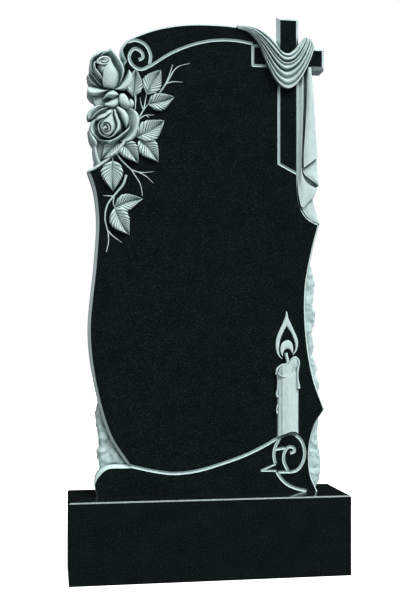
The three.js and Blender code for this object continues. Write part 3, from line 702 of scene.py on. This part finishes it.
def leaf_tree():
    """A leaf along X from its base: a sunk midrib, cut veins that its rows follow, a toothed edge"""
    tree, given = new_tree("leaf", {
        "Length": 70.0, "Width": 46.0, "Rise": 9.0, "Embed": 6.0, "Bow": 0.0, "Veins": 12.0,
        "Vein depth": 2.1, "Tooth size": 0.11, "Slant": 2.1, "Rows": 133, "Columns": 17})
    size = {socket.name: Reckon(tree, socket) for socket in given.outputs if socket.name}
    block = node(tree, "GeometryNodeMeshCube", {"Vertices X": given.outputs["Rows"],
                                                "Vertices Y": given.outputs["Columns"]})
    x, y, z = point_axes(tree)
    row = x + 0.5
    v = y * 2
    out = v.made("ABSOLUTE")
    u = row + size["Slant"] * row * (1 - row) ** 2 * out ** 0.9
    bow = (u * math.pi).made("SINE")
    cell = (row * size["Veins"]).made("FRACT")
    line = (((cell - 0.5).made("ABSOLUTE") * 2 - 0.66) * 2.9).made("MAXIMUM", 0)
    swell = (u.made("MINIMUM", 1) ** 0.72 * math.pi).made("SINE").made("MAXIMUM", 0)
    half = size["Width"] * 0.5 * swell * (1 + (cell - 0.5) * size["Tooth size"] * out ** 3)
    valley = 0.28 + out * 0.95 - out ** 7 * 0.6
    ends = (bow * 2.6).made("MINIMUM", 1).made("MAXIMUM", 0)
    cut = line * size["Vein depth"] * (out * 6).made("MINIMUM", 1) * ends
    rib = (1 - out * 9).made("MAXIMUM", 0) * -1.6
    height = size["Rise"] * valley * ends - cut + rib
    top = z.made("GREATER_THAN", 0)
    lift = top * height.made("MAXIMUM", 0.4) - (1 - top) * size["Embed"]
    side = v * half + size["Bow"] * bow
    return end_tree(tree, given, block.outputs["Mesh"], u * size["Length"], side, lift)


def grown(name, source, tree, sizes, place):
    """The plain carved mesh that a tree makes from an object's data, laid in its place"""
    piece = added(name, source)
    modifier = piece.modifiers.new(name, "NODES")
    modifier.node_group = tree
    names = {item.name: item.identifier for item in tree.interface.items_tree if item.in_out == "INPUT"}
    for label, value in {**sizes, "Material": CARVED}.items():
        modifier[names[label]] = value
    mesh = plain_mesh(piece)
    mesh.transform(place)
    return faced_outwards(mesh)


def swept(name, points, radii, height, spacing=2.0, sides=10, flatten=1.0):
    """A section swept along [x, z] points at one height, with one radius or one for each point"""
    if not isinstance(radii, list):
        radii = [radii] * len(points)
    line = bpy.data.curves.new(name, "CURVE")
    line.dimensions = "3D"
    line.twist_mode = "Z_UP"
    run = line.splines.new("POLY")
    run.points.add(len(points) - 1)
    for point, (x, z), radius in zip(run.points, points, radii):
        point.co = (x, z, 0, 1)
        point.radius = radius
    place = FACE_FRAME @ Matrix.Translation((0, 0, height))
    return grown(name, line, SWEEP, {"Spacing": spacing, "Sides": sides, "Flatten": flatten}, place)


def groove(name, half_width, points):
    """A cutter with a square section on edge, which leaves a wide V"""
    return swept(name, smooth(points, 3), half_width, 0, spacing=3.0, sides=4, flatten=0.62)


def rod(name, points, height, radius):
    """A round rod along a smooth curve, with radius(along) from 0 at its first point to 1 at its last"""
    line = smooth(points, 2)
    last = len(line) - 1
    return swept(name, line, [radius(i / last) for i in range(last + 1)], height)


def stem(name, width, height, points, taper=0.8):
    """A round stem that tapers to a thin end"""
    return rod(name, points, height, lambda along: width / 2 * (1 - taper * along ** 0.8))


def leaf(name, base, tip, wide, rise, bow):
    """One leaf between its base and its tip, rooted deep where it overhangs the slab's edge"""
    along = Vector(tip) - Vector(base)
    turn = math.atan2(along.y, along.x)
    place = FACE_FRAME @ Matrix.Translation((*base, 0)) @ Matrix.Rotation(turn, 4, "Z")
    root = LEAF_ROOT if base[0] < OVERHANG else -EMBED
    sizes = {"Length": along.length, "Width": float(wide), "Rise": float(rise), "Bow": float(bow),
             "Embed": float(root)}
    return grown(name, bpy.data.meshes.new(name), LEAF, sizes, place)


def roughness_of_break(x, z, across=0.0):
    """How far a split surface stands out from flat, in millimetres: broad flakes with fine grain"""
    place = Vector((x, z, across))

    def facets(size, steepness):
        near, next_near = noise.voronoi(place / size)[0][:2]
        return min(1, (next_near - near) * steepness)

    return (3.6 * facets(26, 2.2) + 2.2 * facets(12, 2.8) + 3.4 * noise.noise(place / 26)
            + 1.3 * noise.noise(place / 9) + 0.8 * noise.noise(place / 4)) - 1


def rock_side(name, edge, side):
    """The split edge of the block: its front under the slab, its rough side and its sawn back"""
    spacing, front_steps, side_steps = 4.4, 18, 7
    fall, worn, worn_from = 5, 5, 0.93
    fronts = [1 - (1 - k / front_steps) ** 1.5 for k in range(front_steps + 1)]
    depths = [k / side_steps for k in range(1, side_steps + 1)]
    top = ROCK_FRONT - 3
    corner = top - fall - worn
    rings = []
    for x, z in evenly(edge, spacing):
        inner = x - side * ROCK_REACH
        ring = []
        for t in fronts:
            px = inner + (x - inner) * t
            shy = worn * max(0, t - worn_from) / (1 - worn_from)
            ring.append((px, z, top - fall * t + roughness_of_break(px, z) - shy))
        for t in depths:
            height = corner + (BACK - corner) * t
            bulge = 0.8 * roughness_of_break(z, height, side * 50) * math.sin(math.pi * min(t + 0.12, 1))
            ring.append((x + side * (bulge - 1.5), z, height))
        ring.append((inner, z, BACK))
        rings.append(ring)
    return loft(name, rings)


def slab_outline():
    """The slab's outline, with a point every few millimetres along its curves"""
    spacing = 3.5
    left, roll, foot, right, notch, arch, volute, ledge = (
        smooth(edge, spacing) for edge in (LEFT_EDGE, ROLL_END, RIGHT_FOOT, RIGHT_EDGE, NOTCH, ARCH,
                                           VOLUTE_EDGE, LEDGE))
    return (left + roll[1:] + foot + right[1:] + notch[1:] + SHOULDER + arch + volute[1:] + ROSE_SIDE
            + ledge[1:-1])


def slab_chamfer(x, z):
    """How wide the slab's chamfer is at a point of its outline: it fades out below the roll"""
    roll_right, roll_top, roll_low, fade = -195, 281, 229, 30
    foot_left, foot_top, arch_low = 200, 408, 1335
    if x < roll_right and z < roll_top:
        return CHAMFERS["roll"] * min(1, max(0.05, (z - roll_low) / fade))
    if x > foot_left and z < foot_top:
        return CHAMFERS["foot"]
    if z > arch_low:
        return CHAMFERS["arch"]
    return CHAMFERS["right" if x > 0 else "left"]


def swag():
    """The cloth hung over the arm, its folds falling from edge to edge"""
    rows, columns = 112, 84
    one = smooth(SWAG_INNER, count=rows)
    two = smooth(SWAG_OUTER, count=rows)
    grid = []
    for i, (a, b) in enumerate(zip(one, two)):
        u = i / rows
        full = min(1, 0.3 + 2.6 * min(u, 1.15 - u))
        squeeze = min(1, math.dist(a, b) / 76)
        run = (Vector(one[min(i + 1, rows)]) - Vector(one[max(i - 1, 0)])).normalized()
        row = []
        for j in range(columns + 1):
            v = j / columns
            body = SWAG_RISE * (0.74 + 0.26 * math.sin(math.pi * v ** 0.8))
            for (p, deep), (q, deeper) in zip(SWAG_FOLDS, SWAG_FOLDS[1:]):
                if v <= q:
                    t = (v - p) / (q - p)
                    crest = math.sin(math.pi * t ** 1.1)
                    valley = deep + (deeper - deep) * t
                    break
            body -= valley * (1 - crest) * squeeze
            lobe = max(0, u - 0.94) / 0.06 * (abs(math.sin(2 * math.pi * v)) ** 0.5 * 6 - 2)
            weave = 0.25 * noise.noise(Vector((u * 60, v * 9, 3)))
            x, z = between(a, b, v)
            row.append((x + run.x * lobe, z + run.y * lobe, body * full + weave))
        grid.append(row)
    return relief("swag", grid, SWAG_ROOT)


def candle():
    """The candle in half relief, hollowed at its top, with a raised rim, runs of wax and its wick"""
    rows, columns = 70, 40
    rim = smooth(CANDLE_RIM, count=80)
    foot = smooth(CANDLE_FOOT, count=columns)
    grid = []
    for i in range(rows + 1):
        row = []
        for j, (_, low) in enumerate(foot):
            v = j / columns
            x = CANDLE_LEFT + (CANDLE_RIGHT - CANDLE_LEFT) * v
            top = max(z for px, z in rim if abs(px - x) < 1.6)
            z = low + (top - 2 - low) * i / rows
            lip = 496 + 30 * max(0, v - 0.45) ** 1.3
            hollow = min(1, max(0, (z - lip) / 8))
            height = along_profile(CANDLE_PROFILE, v) * (1 - 0.15 * hollow)
            row.append((x, z, max(0.5, height + 0.4 * noise.noise(Vector((x / 3, z / 14, 0))))))
        grid.append(row)
    parts = [relief("candle", grid, EMBED),
             swept("candle_rim", rim, *RIM_SIZE, flatten=0.9),
             swept("candle_lip", smooth(CANDLE_LIP, 2), *LIP_SIZE)]
    for k, (radius, height, points) in enumerate(WAX_RUNS):
        parts.append(rod(f"wax_run_{k}", points, height, lambda along: radius * (0.7 + 0.6 * along ** 4)))
    parts.append(swept("wick", smooth(WICK, 2), *WICK_SIZE, flatten=0.9))
    return parts


def joined_up(name, body, parts, operation="UNION"):
    """One mesh from a body and the parts that are added to it or cut from it"""
    piece = added(name, body)
    helpers = [added(mesh.name, mesh) for mesh in parts]
    for helper in helpers:
        modifier = piece.modifiers.new(helper.name, "BOOLEAN")
        modifier.object = helper
        modifier.operation = operation
        modifier.solver = "MANIFOLD"
    bpy.context.view_layer.update()
    joined = plain_mesh(piece)
    for helper in helpers:
        bpy.data.objects.remove(helper)
    return joined


def carved_stone():
    """The slab with the cross and the split rock behind it, and the scroll lines cut into it"""
    outline = slab_outline()
    left, right = POST["left"], POST["right"]
    shoulder = ARM["low"] + 20
    arm = [(left, shoulder), (left + 10, ARM["low"]), (ARM["right"], ARM["low"]),
           (ARM["right"], ARM["high"]), (left, ARM["high"])]
    post = [(left, shoulder), (right, shoulder), (right, TOP), (left, TOP)]
    slab = plate("slab", outline, 0, SLAB_BACK, [slab_chamfer(x, z) for x, z in outline])
    stone = joined_up("stone", slab, [
        plate("arm", arm, 0, BACK, [CHAMFERS["cross"]] * len(arm)),
        plate("post", post, 0, -POST["deep"], [CHAMFERS["cross"]] * len(post)),
        loft("rock_core", [[(x, z, height) for x, z in ROCK_CORE] for height in (SLAB_BACK + 4, BACK)]),
        rock_side("rock_left", ROCK_LEFT, -1),
        rock_side("rock_right", ROCK_RIGHT, 1)])
    cutters = [groove(f"groove_{k}", *row) for k, row in enumerate(GROOVES)]
    return joined_up("cut_stone", stone, cutters, "DIFFERENCE")


def placed(points, centre):
    """Points that are given from a rose's centre, in face coordinates"""
    return [(x + centre[0], z + centre[1]) for x, z in points]


def roses():
    """Both roses on the stone between them, with the coils of their hearts cut in"""
    petals = []
    for centre, rows in ((UPPER_CENTRE, UPPER_ROSE + UPPER_BUD), (LOWER_CENTRE, LOWER_ROSE)):
        for first, second, heights, ends in rows:
            petals.append(petal(f"petal_{len(petals)}", placed(first, centre), placed(second, centre),
                                heights, ends))
    ground = smooth(ROSE_GROUND, 3, closed=True)
    ground = loft("rose_ground", [[(x, z, height) for x, z in ground]
                                  for height in (GROUND_HEIGHT, PETAL_ROOT)])
    fine = 1.2
    coils = [swept(f"coil_{k}", smooth(placed(points, centre), fine), half, COIL_HEIGHT, spacing=fine,
                   sides=8, flatten=1.8)
             for k, (half, centre, points) in enumerate(COILS)]
    return joined_up("cut_roses", joined_up("roses", ground, petals), coils, "DIFFERENCE")


def carved_stele():
    """The whole stele: slab, rock, cross, roses, leaves, cloth and candle as one stone"""
    foliage = [leaf(f"leaf_{k}", *row) for k, row in enumerate(LEAVES)]
    foliage += [stem(f"stem_{k}", *row) for k, row in enumerate(STEMS)]
    cloth = [cloth_layer(name, *row) for name, row in TAIL_LAYERS.items()]
    flames = [flat_band(name, *row) for name, row in FLAMES.items()]
    return joined_up("carved_stele", carved_stone(), [*foliage, roses(), *cloth, swag(), *candle(), *flames])


def new_material(name, roughness, specular):
    """A material with its tree, its surface and the place on the object that its patterns follow"""
    material = bpy.data.materials.new(name)
    material.use_nodes = True
    tree = material.node_tree
    surface = tree.nodes["Principled BSDF"]
    surface.inputs["Roughness"].default_value = roughness
    surface.inputs["Specular IOR Level"].default_value = specular
    return material, tree, surface, node(tree, "ShaderNodeTexCoord").outputs["Object"]


def ramp(tree, value, stops):
    """Colours along a value: each stop is its place and its colour, or one number for a grey"""
    made = node(tree, "ShaderNodeValToRGB", {"Fac": value})
    marks = made.color_ramp.elements
    while len(marks) < len(stops):
        marks.new(0.5)
    for mark, (spot, colour) in zip(marks, stops):
        mark.position = spot
        mark.color = (*colour, 1) if isinstance(colour, tuple) else (colour, colour, colour, 1)
    return made.outputs["Color"]


def grain(tree, place, scale, detail=4.0):
    """A fine or broad speckle from 0 to 1"""
    speckle = {"Vector": place, "Scale": scale, "Detail": detail}
    return node(tree, "ShaderNodeTexNoise", speckle).outputs["Fac"]


def multiplied(tree, colour, *others):
    """A colour darkened or lightened by others"""
    for other in others:
        mix = node(tree, "ShaderNodeMix", {0: 1.0, 6: colour, 7: other}, data_type="RGBA",
                   blend_type="MULTIPLY")
        colour = mix.outputs[2]
    return colour


def openness(tree, reach, **values):
    """How open a point is to the air around it, or the stone behind it, from 0 to 1"""
    return node(tree, "ShaderNodeAmbientOcclusion", {"Distance": reach}, samples=8, only_local=True,
                **values).outputs["AO"]


def cut_stone(name, pale, dark, reach, mottle, bump):
    """Stone cut or split open: pale where it is open, with painted shade that darkens its hollows and a
    painted highlight that makes its edges palest
    """
    material, tree, surface, place = new_material(name, 0.62, 0.25)
    # Painted shade: an occlusion ramp takes the colour from the stone's own pale grey, through a half shade,
    # to near black in the hollows
    painted_half_shade = (0.3 * pale[0], 0.38 * pale[1], 0.38 * pale[2])
    painted_hollow_shade = ramp(tree, openness(tree, reach), [(0.22, dark), (0.58, painted_half_shade), (0.94, pale)])
    fine = ramp(tree, grain(tree, place, 700, 2), [(0.3, (0.74, 0.78, 0.78)), (0.7, (1.16, 1.14, 1.14))])
    broad = ramp(tree, grain(tree, place, 70), [(0.35, (1 - mottle, 1 - 0.8 * mottle, 1 - 0.75 * mottle)),
                                                (0.62, 1)])
    # Painted highlight: an inward occlusion lightens the colour along convex edges
    edges = ramp(tree, openness(tree, 0.0028, inside=True), [(0.3, (1.42, 1.34, 1.35)), (0.85, 1)])
    tree.links.new(multiplied(tree, painted_hollow_shade, fine, broad, edges), surface.inputs["Base Color"])
    rough = node(tree, "ShaderNodeBump", {"Height": grain(tree, place, 420), "Strength": bump,
                                          "Distance": 0.0008})
    tree.links.new(rough.outputs["Normal"], surface.inputs["Normal"])
    return material


def polished_stone():
    """Polished black stone with fine dull specks"""
    material, tree, surface, place = new_material("polished_black", 0.1, 0.16)
    specks = ramp(tree, grain(tree, place, 340, 3),
                  [(0.36, (0.003, 0.006, 0.006)), (0.54, (0.005, 0.0085, 0.0085)),
                   (0.64, (0.012, 0.018, 0.017)), (0.78, (0.045, 0.06, 0.055))])
    clouds = ramp(tree, grain(tree, place, 25), [(0.35, 0.88), (0.7, 1.08)])
    tree.links.new(multiplied(tree, specks, clouds), surface.inputs["Base Color"])
    return material


def ground_edge():
    """The plinth's front chamfer, ground but not polished"""
    material, tree, surface, place = new_material("ground_edge", 0.5, 0.3)
    worn = ramp(tree, grain(tree, place, 300), [(0.3, (0.17, 0.22, 0.22)), (0.7, (0.32, 0.39, 0.38))])
    tree.links.new(worn, surface.inputs["Base Color"])
    return material


def sawn_stone():
    """The back, honed dark grey with faint saw lines"""
    material, tree, surface, place = new_material("honed_back", 0.42, 0.3)
    lines = node(tree, "ShaderNodeTexWave", {"Vector": place, "Scale": 60.0, "Distortion": 1.0},
                 bands_direction="Z")
    tone = ramp(tree, grain(tree, place, 500), [(0.35, (0.018, 0.024, 0.023)), (0.7, (0.05, 0.06, 0.058))])
    faint = ramp(tree, lines.outputs["Fac"], [(0.0, 0.86), (1.0, 1)])
    tree.links.new(multiplied(tree, tone, faint), surface.inputs["Base Color"])
    return material


# The dark colour and the reach of each finish set the painted shade in the hollows of the carving and the
# split rock
CARVED = cut_stone("carved_grey", (0.57, 0.71, 0.70), (0.005, 0.014, 0.014), 0.015, 0.08, 0.2)
SPLIT = cut_stone("split_grey", (0.54, 0.68, 0.68), (0.02, 0.04, 0.042), 0.008, 0.22, 0.5)
EDGE = ground_edge()
POLISHED = polished_stone()
HONED = sawn_stone()
FINISHES = [CARVED, SPLIT, POLISHED, HONED]
SWEEP = sweep_tree()
LEAF = leaf_tree()


def finish_of(face):
    """The finish of one face of the stone, by where it is and which way it faces"""
    height = FACE_Y - face.center.y / MM
    x, z = face.center.x / MM, face.center.z / MM
    if abs(height) < 0.05 and face.normal.y < -0.999:
        return POLISHED
    if height < BACK + 0.1 and face.normal.y > 0.99:
        return HONED
    behind_chamfer = height < -CHAMFERS["left"] - 0.5
    return SPLIT if behind_chamfer and not (x > CLOTH_LEFT and z > CLOTH_FOOT) else CARVED


def drop_crumbs(shape):
    """Takes out the few specks of stone that the cuts leave standing free"""
    left = set(shape.verts)
    while left:
        first = left.pop()
        group = {first}
        waiting = [first]
        while waiting:
            for edge in waiting.pop().link_edges:
                for vert in edge.verts:
                    if vert not in group:
                        group.add(vert)
                        waiting.append(vert)
        left -= group
        if len(group) < CRUMB:
            bmesh.ops.delete(shape, geom=list(group), context="VERTS")


def finish_stele(mesh):
    """Gives each face of the stone its finish, and keeps the edges between finishes sharp"""
    mesh.materials.clear()
    for material in FINISHES:
        mesh.materials.append(material)
    for face in mesh.polygons:
        face.material_index = FINISHES.index(finish_of(face))
    polished = FINISHES.index(POLISHED)
    shape = bmesh.new()
    shape.from_mesh(mesh)
    drop_crumbs(shape)
    for edge in shape.edges:
        kinds = {f.material_index for f in edge.link_faces}
        meets_polish = len(kinds) > 1 and polished in kinds
        edge.smooth = not (meets_polish or edge.calc_face_angle(0) > SHARP)
    for face in shape.faces:
        face.smooth = True
    shape.to_mesh(mesh)
    shape.free()
    return mesh


def build_stele():
    """The carved stone takes the place of the CAD stele"""
    piece = added("carved_stele", finish_stele(carved_stele()))
    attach(piece, "root")
    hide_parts("stele")


def build_plinth():
    """The plinth keeps its shape and gets its polish, with a pale ground chamfer"""
    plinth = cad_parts["plinth"]
    plinth.data.materials.clear()
    plinth.data.materials.append(POLISHED)
    plinth.data.materials.append(EDGE)
    for face in plinth.data.polygons:
        face.material_index = 1 if 0.3 < face.normal.z < 0.95 and face.normal.y < -0.3 else 0


def build_stage():
    """A pale floor that lights nothing and shows in no reflection"""
    side, gap = 14, 0.0005
    low = PLINTH_LOW.z - gap
    mesh = bpy.data.meshes.new("floor")
    mesh.from_pydata([(-side, -side, low), (side, -side, low), (side, side, low), (-side, side, low)], [],
                     [(0, 1, 2, 3)])
    floor = added("floor", mesh)
    material = bpy.data.materials.new("pale_floor")
    material.use_nodes = True
    surface = material.node_tree.nodes["Principled BSDF"]
    for label, value in {"Base Color": (0.9, 0.9, 0.9, 1), "Roughness": 0.9, "Specular IOR Level": 0.0,
                         "Emission Color": (1, 1, 1, 1), "Emission Strength": 1.0}.items():
        surface.inputs[label].default_value = value
    mesh.materials.append(material)
    floor.visible_diffuse = False
    floor.visible_glossy = False


def build_light():
    """Soft lamps from the upper right and the front, a dim fill from all round and a white surround"""
    scene = bpy.context.scene
    scene.world = bpy.data.worlds.new("studio")
    scene.world.use_nodes = True
    tree = scene.world.node_tree
    ray = node(tree, "ShaderNodeLightPath")
    fill = node(tree, "ShaderNodeMix", {0: ray.outputs["Is Glossy Ray"], 2: FILL, 3: FILL_IN_POLISH},
                data_type="FLOAT")
    seen = node(tree, "ShaderNodeMix", {0: ray.outputs["Is Camera Ray"], 2: fill.outputs[0], 3: 1.0},
                data_type="FLOAT")
    background = tree.nodes["Background"]
    background.inputs["Color"].default_value = (1, 1, 1, 1)
    tree.links.new(seen.outputs[0], background.inputs["Strength"])
    for name, strength, spread, towards in LAMPS:
        sun = bpy.data.lights.new(name, "SUN")
        sun.energy = strength
        sun.angle = math.radians(spread)
        lamp = added(name, sun)
        lamp.rotation_euler = Vector(towards).to_track_quat("Z", "Y").to_euler()
        lamp.visible_glossy = name == "key"
    scene.view_settings.view_transform = "Standard"


def build_camera():
    """The photograph's viewpoint: level, at half height, a little to the left"""
    data = bpy.data.cameras.new("camera")
    data.sensor_width = 36
    frame_high, focal, rise = 600, 928, 39.1
    data.lens = data.sensor_width * focal / frame_high
    data.shift_y = rise / frame_high
    camera = added("camera", data)
    camera.location = (-0.3918, -2.3337, 0.5916)
    camera.rotation_euler = (math.radians(90), 0, math.radians(-9.11))
    bpy.context.scene.camera = camera


build_camera()
build_stele()
build_plinth()
build_stage()
build_light()
